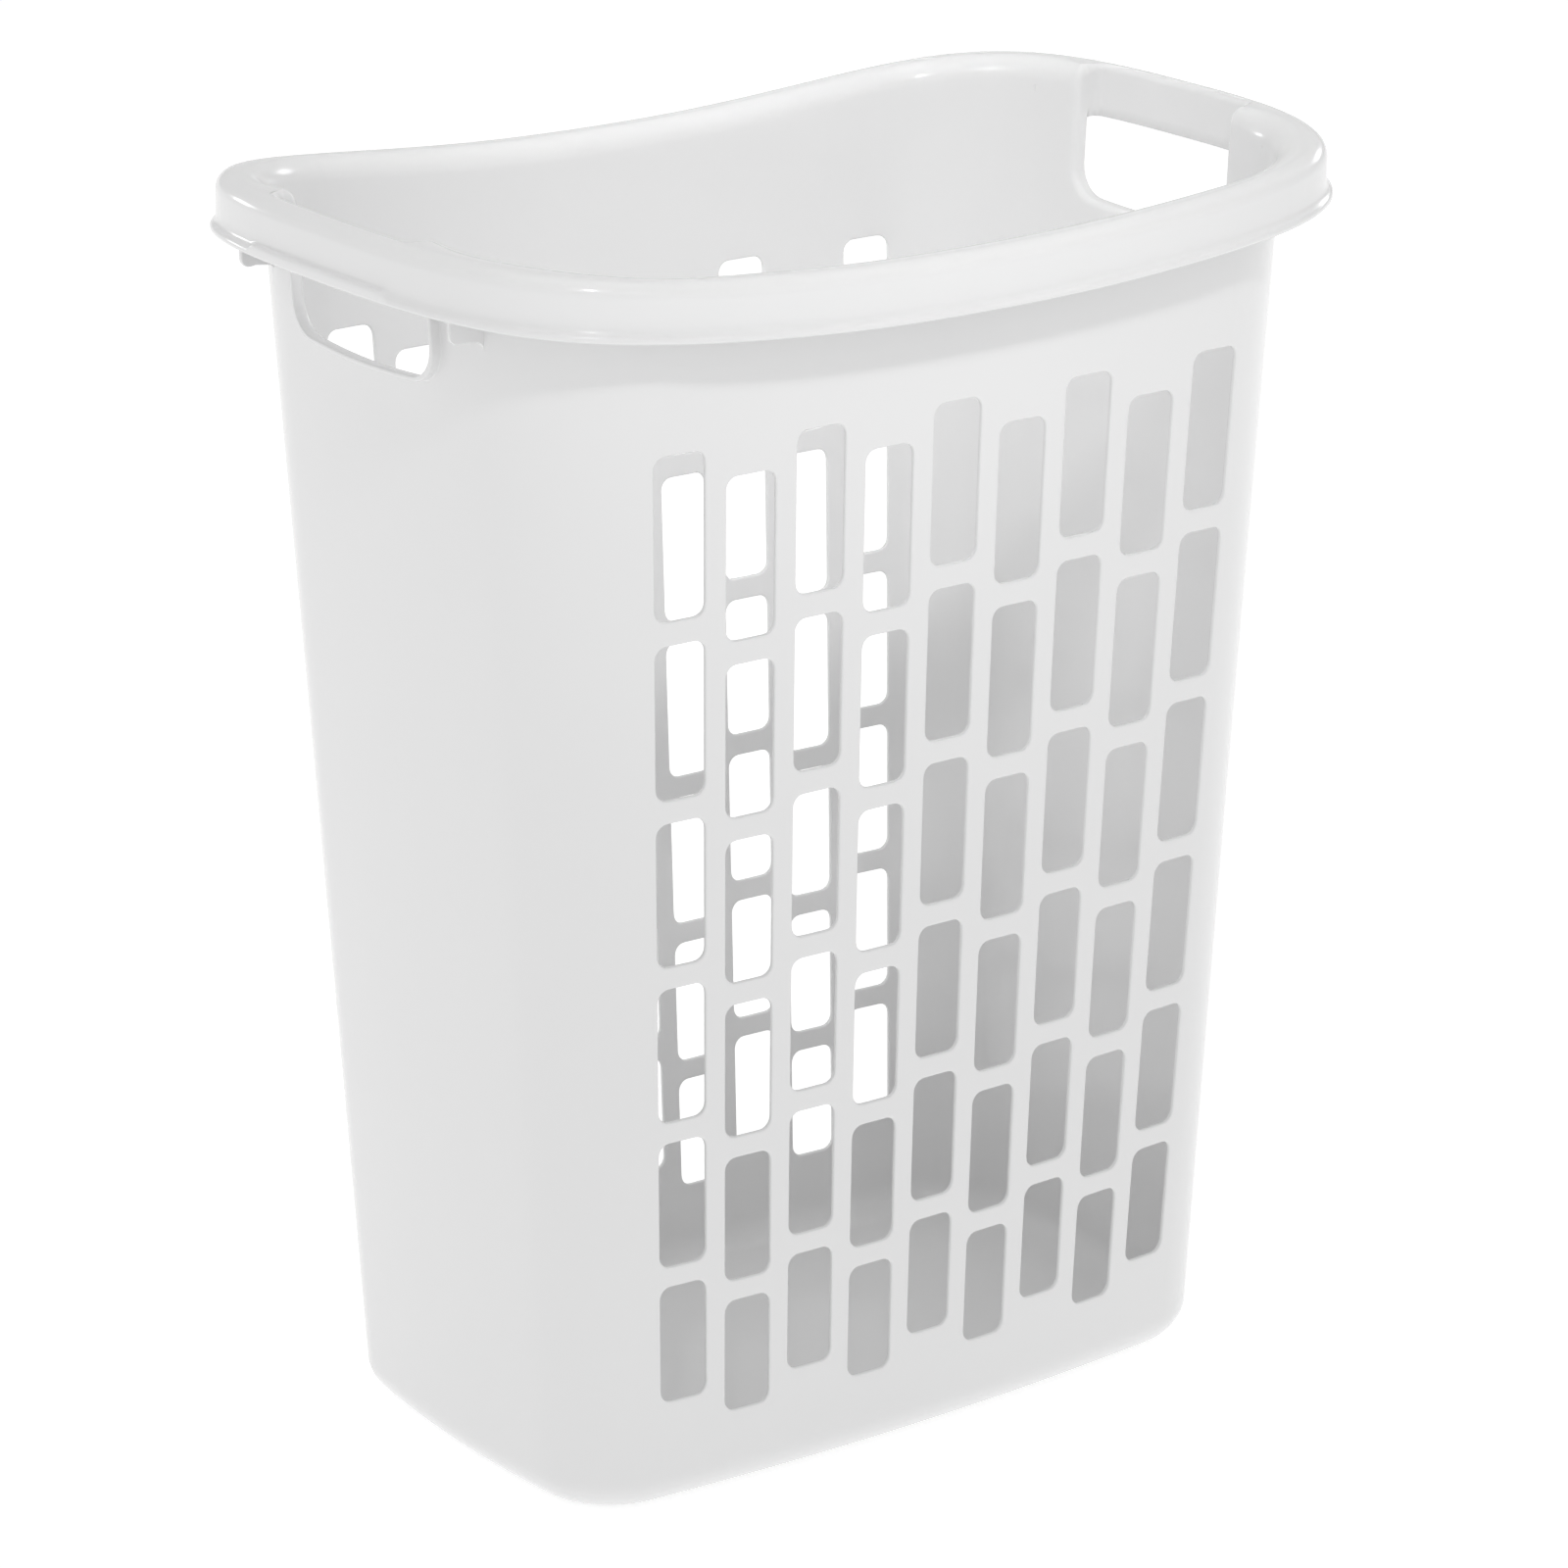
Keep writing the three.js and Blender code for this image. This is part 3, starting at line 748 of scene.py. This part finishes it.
def side_places(segment, side, hand, corner_region, grip_region, web_region):
    """Sections from the corner to the grip, on one side of an opening."""
    rings = end_rings[segment]
    index = 0 if hand < 0 else -1
    places = []
    for i in range(1, LIP_RING):
        v = rings[i][index]
        y = abs(shell.points[v][1])
        t = smooth(y, OPENING_HALF_WIDTH + LIP_RADIUS, straight_half(RIGHT, RIM_PLAN_HEIGHT))
        fillet = tuple(mix(g, w, t) for g, w in zip(NOTCH_FILLET, INNER_FILLET))
        places.append(
            end_place(side, hand, y, -WALL, (0.0, 1.0), y + 0.8, v, fillet, corner_region)
        )
    # Round the corner of the opening, along the web, and into the grip's inner side.
    plan = []
    for i, step in enumerate(LIP_SECTION[1:8]):
        t = math.radians(15 * i)
        plan.append((OPENING_HALF_WIDTH + step[0], step[1], math.sin(t), math.cos(t)))
    for step in LIP_SECTION[8:]:
        plan.append((OPENING_HALF_WIDTH, step[1], 1.0, 0.0))
    roots = [rings[LIP_RING + i][index] for i in range(len(plan))]
    inside = OPENING_HALF_WIDTH - GRIP_CORNER
    corner = grip_offset(inside) - GRIP_CORNER
    for t in (0.33, 0.67):
        plan.append((OPENING_HALF_WIDTH, mix(LIP_REACH, corner, t), 1.0, 0.0))
    for i in range(6):
        t = math.radians(18 * i)
        c, s = math.cos(t), math.sin(t)
        plan.append((inside + GRIP_CORNER * c, corner + GRIP_CORNER * s, c, s))
    roots += [None] * (len(plan) - len(roots))
    outer_from, outer_to = OPENING_HALF_WIDTH + LIP_RADIUS + 2.5, inside
    for i, (reach, offset, away, out) in enumerate(plan):
        t = smooth(i, 4, len(plan) - 6)
        fillet = tuple(mix(n, g, t) for n, g in zip(NOTCH_FILLET, GRIP_FILLET))
        outer_y = mix(outer_from, outer_to, i / len(plan))
        region = corner_region if outer_y > ROLL_HALF_WIDTH else grip_region
        places.append(
            end_place(
                side, hand, reach, offset, (away, out), outer_y, roots[i], fillet, region,
                web_region,
            )
        )
    return places


def ease_crown_edge(places):
    """Softens the turns of the crown's inner edge where it passes the end of a notch."""
    edge = []
    base = []
    for place in places:
        x, y = place.inner(place.crown)
        base.append(np.array((x, y)))
        edge.append(base[-1] + np.array(place.into) * place.fillet[0])
    depths = [place.fillet[1] for place in places]
    for _ in range(EASE_ROUNDS):
        before, heights = list(edge), list(depths)
        for i in range(1, len(places) - 1):
            edge[i] = 0.5 * before[i] + 0.25 * (before[i - 1] + before[i + 1])
            depths[i] = 0.5 * heights[i] + 0.25 * (heights[i - 1] + heights[i + 1])
    for place, start, point, depth in zip(places, base, edge, depths):
        way = point - start
        size = float(np.hypot(*way))
        place.crown_into = (float(way[0]) / size, float(way[1]) / size)
        place.fillet = (max(size, GRIP_FILLET[0]), depth)


def end_places(segment, side):
    before = CORNER_NAMES[segment - 1]
    after = CORNER_NAMES[segment + 1]
    grip = ("right" if side > 0 else "left") + "_grip"
    tag = "handle_web_" + ("right_" if side > 0 else "left_")
    left_web = tag + before.split("_")[0]
    right_web = tag + after.split("_")[0]
    left = side_places(segment, side, -1, "rim_corner_" + before, grip, left_web)
    right = side_places(segment, side, 1, "rim_corner_" + after, grip, right_web)
    middle = []
    half = OPENING_HALF_WIDTH - GRIP_CORNER
    for i in range(GRIP_STEPS + 1):
        y = mix(-half, half, i / GRIP_STEPS)
        hand = -1 if y < 0 else 1
        middle.append(
            end_place(
                side, hand, abs(y), grip_offset(abs(y)), (0.0, 1.0), abs(y), None,
                GRIP_FILLET, grip,
            )
        )
    ease_crown_edge(left)
    ease_crown_edge(right)
    return left + middle + right[::-1]


# The skirt's lower edge: (out, drop) of the face and the back below the crown.
BEAD_SECTION = [
    (0.15, 17.5, -2.25, 17.5),
    (0.3, 20.4, -2.1, 20.7),
    (0.75, 21.8, -1.65, 22.4),
    (1.6, 22.8, -0.95, 23.7),
    (2.5, 23.55, -0.3, 24.6),
    (3.02, 24.3, 0.1, 25.3),
    (3.2, 25.2, 0.3, 25.9),
    (3.08, 26.05, 0.5, 26.35),
    (2.6, 26.6, 1.0, 26.6),
]
# The same steps on the grip, where the edge is rolled into a slightly taller lip.
ROLL_SECTION = [
    (0.05, 19.6, -2.35, 19.8),
    (0.2, 20.3, -2.2, 20.7),
    (0.8, 20.75, -1.7, 21.5),
    (1.8, 21.0, -0.9, 22.2),
    (2.7, 21.4, -0.1, 23.0),
    (3.1, 22.1, 0.5, 23.8),
    (3.15, 23.6, 0.75, 24.6),
    (3.1, 25.7, 0.8, 25.9),
    (2.6, 26.6, 1.3, 26.6),
]
UPRIGHT_STEPS = 4
FILLET_STEPS = 8
CROWN_STEPS = 5
SHOULDER_STEPS = 9
WEB_ROWS = UPRIGHT_STEPS + FILLET_STEPS


def rim_section(place):
    """Face and back points of one section, from the root over the crown to the skirt's edge."""
    ax, ay = place.into
    ox, oy = place.outer
    mx, my = place.away
    rx, rz = place.fillet
    crown = place.crown
    points = []

    def add(face, back):
        points.append((face, back))

    cx, cy = place.crown_into

    def inner_at(z, face_in, back_in):
        x, y = place.inner(z)
        # The wall is offset square to itself, and the fillet leans towards the crown's edge.
        lean = max(0.0, 1 - (crown - z) / rz)
        bx, by = mix(ax, cx, lean), mix(ay, cy, lean)
        return (x + cx * face_in, y + cy * face_in), (x + bx * back_in, y + by * back_in)

    for i in range(UPRIGHT_STEPS):
        z = mix(crown - place.drop, crown - rz, i / UPRIGHT_STEPS)
        face, back = inner_at(z, 0.0, WALL)
        add((*face, z), (*back, z))
    for i in range(FILLET_STEPS):
        t = math.pi / 2 * i / FILLET_STEPS
        z = crown - rz + rz * math.sin(t)
        back_z = crown - rz + (rz - WALL) * math.sin(t)
        face, _ = inner_at(z, rx * (1 - math.cos(t)), 0.0)
        _, back = inner_at(back_z, 0.0, rx - (rx - WALL) * math.cos(t))
        add((*face, z), (*back, back_z))
    start, _ = inner_at(crown, rx, rx)
    end = (ox - mx * CROWN_RADIUS, oy - my * CROWN_RADIUS)
    for i in range(CROWN_STEPS):
        t = i / CROWN_STEPS
        x, y = mix(start[0], end[0], t), mix(start[1], end[1], t)
        add((x, y, crown), (x, y, crown - WALL))
    for i in range(SHOULDER_STEPS + 1):
        t = math.pi / 2 * i / SHOULDER_STEPS
        face_out = CROWN_RADIUS * (math.sin(t) - 1)
        face_z = crown + CROWN_RADIUS * (math.cos(t) - 1)
        back_out = -CROWN_RADIUS + (CROWN_RADIUS - WALL) * math.sin(t)
        back_z = crown - CROWN_RADIUS + (CROWN_RADIUS - WALL) * math.cos(t)
        add(
            (ox + mx * face_out, oy + my * face_out, face_z),
            (ox + mx * back_out, oy + my * back_out, back_z),
        )
    at_end = abs(ox) > 0.9 * SKIRT_HALF_LENGTH
    roll = 1 - smooth(abs(oy), ROLL_HALF_WIDTH - ROLL_FADE, ROLL_HALF_WIDTH) if at_end else 0.0
    for bead, rolled in zip(BEAD_SECTION, ROLL_SECTION):
        fo, fd, bo, bd = (mix(a, b, roll) for a, b in zip(bead, rolled))
        add(
            (ox + mx * fo, oy + my * fo, crown - fd),
            (ox + mx * bo, oy + my * bo, crown - bd),
        )
    return points


def make_rim():
    places = []
    for segment in range(8):
        if segment in CORNER_NAMES or segment % 4 == 0:
            places += [wall_place(s) for s in range(FIRST[segment], last_of(segment))]
        else:
            before = "rim_corner_" + CORNER_NAMES[segment - 1]
            places.append(wall_place(FIRST[segment], before))
            places += end_places(segment, 1 if segment == RIGHT else -1)
    rows = []
    for place in places:
        points = rim_section(place)
        row = [shell.pair(*p) for p in points[1:]]
        rows.append([place.root if place.root is not None else shell.pair(*points[0])] + row)
    count = len(places)
    for i in range(count):
        n = (i + 1) % count
        here, there = places[i], places[n]
        for k in range(len(rows[i]) - 1):
            in_web = here.web and there.web and k < WEB_ROWS
            region = here.web if in_web else here.region
            shell.sheet(rows[i][k], rows[n][k], rows[n][k + 1], rows[i][k + 1], region)
        shell.lip(rows[i][-1], rows[n][-1], here.region)
        if here.root is None or there.root is None:
            sill_region = here.web if here.web and there.web else here.region
            shell.sill(rows[i][0], rows[n][0], sill_region)


# ---- base and floor ----------------------------------------------------------------------


def make_base():
    names = {
        FRONT: "base_edge_front",
        RIGHT: "base_edge_right",
        BACK: "base_edge_back",
        LEFT: "base_edge_left",
        **{segment: "base_corner_" + name for segment, name in CORNER_NAMES.items()},
    }
    count = len(STATIONS)
    upper = [wall_point(s, 0) for s in range(count)]
    for i in range(1, BASE_STEPS + 1):
        angle = math.pi / 2 * (1 - i / BASE_STEPS)
        lower = []
        for place in STATIONS:
            x, y, nx, ny = outline(*place(BASE_RADIUS), BASE_RADIUS)
            pair = []
            for radius in (BASE_RADIUS - WALL, BASE_RADIUS):
                inset = BASE_RADIUS - radius * math.sin(angle)
                z = BASE_RADIUS - radius * math.cos(angle)
                pair.append((x - nx * inset, y - ny * inset, z))
            lower.append(shell.pair(*pair))
        for s in range(count):
            n = (s + 1) % count
            region = names[STATIONS[s](BASE_RADIUS)[0]]
            shell.sheet(lower[s], lower[n], upper[n], upper[s], region)
        upper = lower
    floor_edge = upper
    for shrink in FLOOR_RINGS:
        lower = []
        for v in floor_edge:
            x, y, _ = shell.points[v]
            lower.append(shell.pair((x * shrink, y * shrink, WALL), (x * shrink, y * shrink, 0.0)))
        for s in range(count):
            n = (s + 1) % count
            shell.sheet(lower[s], lower[n], upper[n], upper[s], "floor_panel")
        upper = lower
    centre = shell.pair((0, 0, WALL), (0, 0, 0))
    for s in range(count):
        n = (s + 1) % count
        shell.sheet(centre, centre, upper[n], upper[s], "floor_panel")


# ---- pieces ------------------------------------------------------------------------------


def point_normals(points, faces):
    """Normals of the whole shell's points, each face weighing in by its area."""
    normals = np.zeros_like(points)
    for corners in faces:
        p = points[corners]
        area = np.cross(p[2] - p[0], p[-1] - p[1]) if len(p) == 4 else np.cross(p[1] - p[0], p[2] - p[0])
        for c in corners:
            normals[c] += area
    return normals / np.maximum(np.linalg.norm(normals, axis=1), 1e-12)[:, None]


def closing_faces(faces):
    """Walls between the face side and the back side round the border of a region."""
    edges = set()
    for corners in faces:
        edges.update(zip(corners, corners[1:] + corners[:1]))
    partner = shell.partner
    return [
        [b, a, partner[a], partner[b]]
        for a, b in sorted(edges)
        if (b, a) not in edges and a in partner and b in partner
    ]


def make_piece(name, points, normals, faces):
    caps = closing_faces(faces)
    used = sorted({c for corners in faces + caps for c in corners})
    index = {v: i for i, v in enumerate(used)}
    mesh = bpy.data.meshes.new(name)
    mesh.from_pydata(
        (points[used] * MM).tolist(),
        [],
        [[index[c] for c in corners] for corners in faces + caps],
    )
    mesh.polygons.foreach_set("use_smooth", [True] * len(mesh.polygons))
    mesh.update()
    corner_normals = [normals[c] for corners in faces for c in corners]
    flat = mesh.polygons[len(faces):]
    for polygon in flat:
        corner_normals += [polygon.normal[:]] * len(polygon.vertices)
    mesh.normals_split_custom_set([tuple(n) for n in corner_normals])
    piece = bpy.data.objects.new(name, mesh)
    bpy.context.scene.collection.objects.link(piece)
    return piece


def gusset(side, y):
    """Upright rib between the end wall and the skirt, with rounded edges."""
    # The rib reaches a little way into the wall, the skirt and the crown.
    wall = end_face(y, GUSSET_BOTTOM) - GUSSET_EMBED
    skirt = skirt_at_end(1, y)[0] - WALL + 0.6
    top = crown_height(skirt) - WALL + 0.5
    low = GUSSET_BOTTOM
    outline_xz = [(wall, low - 5.2), (wall + 0.8, low - 4.8)]
    for i in range(7):
        t = math.radians(15 * i)
        outline_xz.append((wall + 4.6 - 3.8 * math.cos(t), low - 4.2 + 3.8 * math.sin(t)))
    middle = (wall + skirt) / 2 + 1.0
    turn = skirt - GUSSET_SETBACK - GUSSET_CORNER
    outline_xz += [(middle - 1.5, low + 0.4), (turn - 0.6, low)]
    for i in range(1, 7):
        t = math.radians(15 * i)
        across, rise = GUSSET_CORNER * math.sin(t), GUSSET_CORNER * (1 - math.cos(t))
        outline_xz.append((turn + across, low + rise))
    outline_xz += [(skirt - GUSSET_SETBACK, low + 10.0), (skirt, low + 16.0), (skirt, top - 8.0)]
    outline_xz += [(skirt - 2.4, top - 2.4), (skirt - 8.0, top), (wall + 11.0, top)]
    outline_xz += [(wall + 4.5, top - 4.0), (wall, top - 11.0)]
    mesh = bmesh.new()
    near = (y - GUSSET_THICKNESS / 2) * MM
    corners = [mesh.verts.new((side * x * MM, near, z * MM)) for x, z in outline_xz]
    face = mesh.faces.new(corners)
    made = bmesh.ops.extrude_face_region(mesh, geom=[face])
    moved = [v for v in made["geom"] if isinstance(v, bmesh.types.BMVert)]
    bmesh.ops.translate(mesh, verts=moved, vec=(0, GUSSET_THICKNESS * MM, 0))
    bmesh.ops.recalc_face_normals(mesh, faces=mesh.faces)
    rims = [e for e in mesh.edges if abs(e.verts[0].co.y - e.verts[1].co.y) < 1e-6]
    bmesh.ops.bevel(mesh, geom=rims, offset=GUSSET_EDGE * MM, segments=2, affect="EDGES", profile=0.5)
    return mesh


def finish_piece(piece, node):
    piece.data.materials.clear()
    piece.data.materials.append(plastic)
    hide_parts(node)
    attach(piece, "root")


# ---- material ----------------------------------------------------------------------------


def node_of(tree, kind, **inputs):
    made = tree.nodes.new(kind)
    for name, value in inputs.items():
        made.inputs[name.replace("_", " ")].default_value = value
    return made


def make_plastic():
    material = bpy.data.materials.new("white_polypropylene")
    material.use_nodes = True
    tree = material.node_tree
    shader = tree.nodes["Principled BSDF"]
    shader.inputs["IOR"].default_value = 1.49
    place = tree.nodes.new("ShaderNodeTexCoord")
    clouds = node_of(tree, "ShaderNodeTexNoise", Scale=9.0, Detail=3.0, Roughness=0.55)
    tree.links.new(place.outputs["Object"], clouds.inputs["Vector"])
    tint = tree.nodes.new("ShaderNodeMix")
    tint.data_type = "RGBA"
    tint.inputs["A"].default_value = (0.820, 0.820, 0.822, 1)
    tint.inputs["B"].default_value = (0.838, 0.838, 0.838, 1)
    tree.links.new(clouds.outputs["Fac"], tint.inputs["Factor"])
    tree.links.new(tint.outputs["Result"], shader.inputs["Base Color"])
    gloss = tree.nodes.new("ShaderNodeMapRange")
    gloss.inputs["To Min"].default_value = 0.13
    gloss.inputs["To Max"].default_value = 0.19
    tree.links.new(clouds.outputs["Fac"], gloss.inputs["Value"])
    tree.links.new(gloss.outputs["Result"], shader.inputs["Roughness"])
    grain = node_of(tree, "ShaderNodeTexNoise", Scale=260.0, Detail=2.0, Roughness=0.5)
    tree.links.new(place.outputs["Object"], grain.inputs["Vector"])
    bump = node_of(tree, "ShaderNodeBump", Strength=0.05, Distance=0.0002)
    tree.links.new(grain.outputs["Fac"], bump.inputs["Height"])
    tree.links.new(bump.outputs["Normal"], shader.inputs["Normal"])
    return material


# ---- studio ------------------------------------------------------------------------------


SKY = 0.66
# The floor glows faintly, so that it stays white as far as it can be seen.
FLOOR_GLOW = 0.36
FLOOR_HALF_SIZE = 30.0
# Points that the softboxes are aimed at.
MIDDLE = (0, 0, 0.31)
RIM_FRONT_RIGHT = (0.206, -0.145, 0.613)
RIM_BACK_LEFT = (-0.247, 0.086, 0.613)
# Name, point aimed at, azimuth (0 is -Y, 90 is +X), elevation, distance, width, height in
# metres, watts, and the spread of the beam in degrees.
SOFTBOXES = [
    ("overhead_softbox", MIDDLE, 0, 88, 3.2, 2.2, 1.6, 8, 180),
    ("right_softbox", RIM_FRONT_RIGHT, 106, 19, 2.9, 1.0, 0.60, 7, 180),
    ("back_softbox", RIM_BACK_LEFT, -164, 5, 2.9, 0.50, 0.36, 4, 180),
    ("inside_softbox", (0.05, 0.12, 0.51), -20, 42, 2.4, 0.3, 0.2, 0.20, 18),
    ("grip_softbox", (0.22, 0.08, 0.57), -80, 40, 2.4, 0.3, 0.2, 0.07, 14),
]


def make_floor():
    mesh = bpy.data.meshes.new("floor")
    half = FLOOR_HALF_SIZE
    corners = [(-half, -half, 0), (half, -half, 0), (half, half, 0), (-half, half, 0)]
    mesh.from_pydata(corners, [], [(0, 1, 2, 3)])
    floor = bpy.data.objects.new("floor", mesh)
    bpy.context.scene.collection.objects.link(floor)
    material = bpy.data.materials.new("pale_floor")
    material.use_nodes = True
    shader = material.node_tree.nodes["Principled BSDF"]
    shader.inputs["Base Color"].default_value = (0.95, 0.95, 0.95, 1)
    shader.inputs["Roughness"].default_value = 0.9
    shader.inputs["Specular IOR Level"].default_value = 0.0
    shader.inputs["Emission Color"].default_value = (1, 1, 1, 1)
    shader.inputs["Emission Strength"].default_value = FLOOR_GLOW
    mesh.materials.append(material)


def softbox(name, target, azimuth, elevation, distance, width, height, power, spread):
    """A rectangular light seen from target at that azimuth (0 is -Y, 90 is +X) and elevation."""
    light = bpy.data.lights.new(name, "AREA")
    light.shape = "RECTANGLE"
    light.size = width
    light.size_y = height
    light.energy = power
    light.spread = math.radians(spread)
    a, e = math.radians(azimuth), math.radians(elevation)
    back = Vector((math.sin(a) * math.cos(e), -math.cos(a) * math.cos(e), math.sin(e)))
    lamp = bpy.data.objects.new(name, light)
    lamp.location = Vector(target) + back * distance
    lamp.rotation_mode = "QUATERNION"
    lamp.rotation_quaternion = back.to_track_quat("Z", "Y")
    bpy.context.scene.collection.objects.link(lamp)


def make_studio():
    world = bpy.data.worlds.new("studio")
    world.use_nodes = True
    world.node_tree.nodes["Background"].inputs["Color"].default_value = (1, 1, 1, 1)
    world.node_tree.nodes["Background"].inputs["Strength"].default_value = SKY
    bpy.context.scene.world = world
    for settings in SOFTBOXES:
        softbox(*settings)
    make_floor()
    view = bpy.context.scene.view_settings
    view.view_transform = "Standard"
    view.look = "None"
    view.exposure = 0.0


def make_camera():
    camera = bpy.data.cameras.new("camera")
    camera.lens = 129.58
    camera.sensor_width = 36.0
    holder = bpy.data.objects.new("camera", camera)
    target = Vector((0.002, -0.001, 0.303))
    distance = 2.753
    azimuth = math.radians(-35.83)
    elevation = math.radians(19.06)
    roll = math.radians(-0.146)
    back = Vector((
        math.sin(azimuth) * math.cos(elevation),
        -math.cos(azimuth) * math.cos(elevation),
        math.sin(elevation),
    ))
    holder.location = target + back * distance
    holder.rotation_mode = "QUATERNION"
    aim = (-back).to_track_quat("-Z", "Y")
    holder.rotation_quaternion = aim @ Matrix.Rotation(roll, 3, "Z").to_quaternion()
    camera.clip_start, camera.clip_end = 0.1, 100
    bpy.context.scene.collection.objects.link(holder)
    bpy.context.scene.camera = holder


# ---- assembly ----------------------------------------------------------------------------

long_wall(FRONT, "front_wall")
long_wall(BACK, "back_wall")
end_wall(RIGHT, 1, "right_end_wall", "right_handle_lip")
end_wall(LEFT, -1, "left_end_wall", "left_handle_lip")
for corner, name in CORNER_NAMES.items():
    wall_grid(FIRST[corner], last_of(corner), 0, TOP, "corner_wall_" + name)
make_rim()
make_base()

plastic = make_plastic()
shell_points = np.array(shell.points, float)
shell_normals = point_normals(shell_points, shell.faces)
by_region = {}
for corners, region in zip(shell.faces, shell.regions):
    by_region.setdefault(region, []).append(corners)
for node, faces in by_region.items():
    finish_piece(make_piece(node + "_moulded", shell_points, shell_normals, faces), node)

for side, side_name in ((1, "right"), (-1, "left")):
    for y, place_name in ((-GUSSET_AT, "front"), (GUSSET_AT, "back")):
        node = "gusset_" + side_name + "_" + place_name
        rib = bpy.data.meshes.new(node + "_moulded")
        gusset(side, y).to_mesh(rib)
        piece = bpy.data.objects.new(node + "_moulded", rib)
        bpy.context.scene.collection.objects.link(piece)
        finish_piece(piece, node)

make_studio()
make_camera()

bpy.context.view_layer.update()
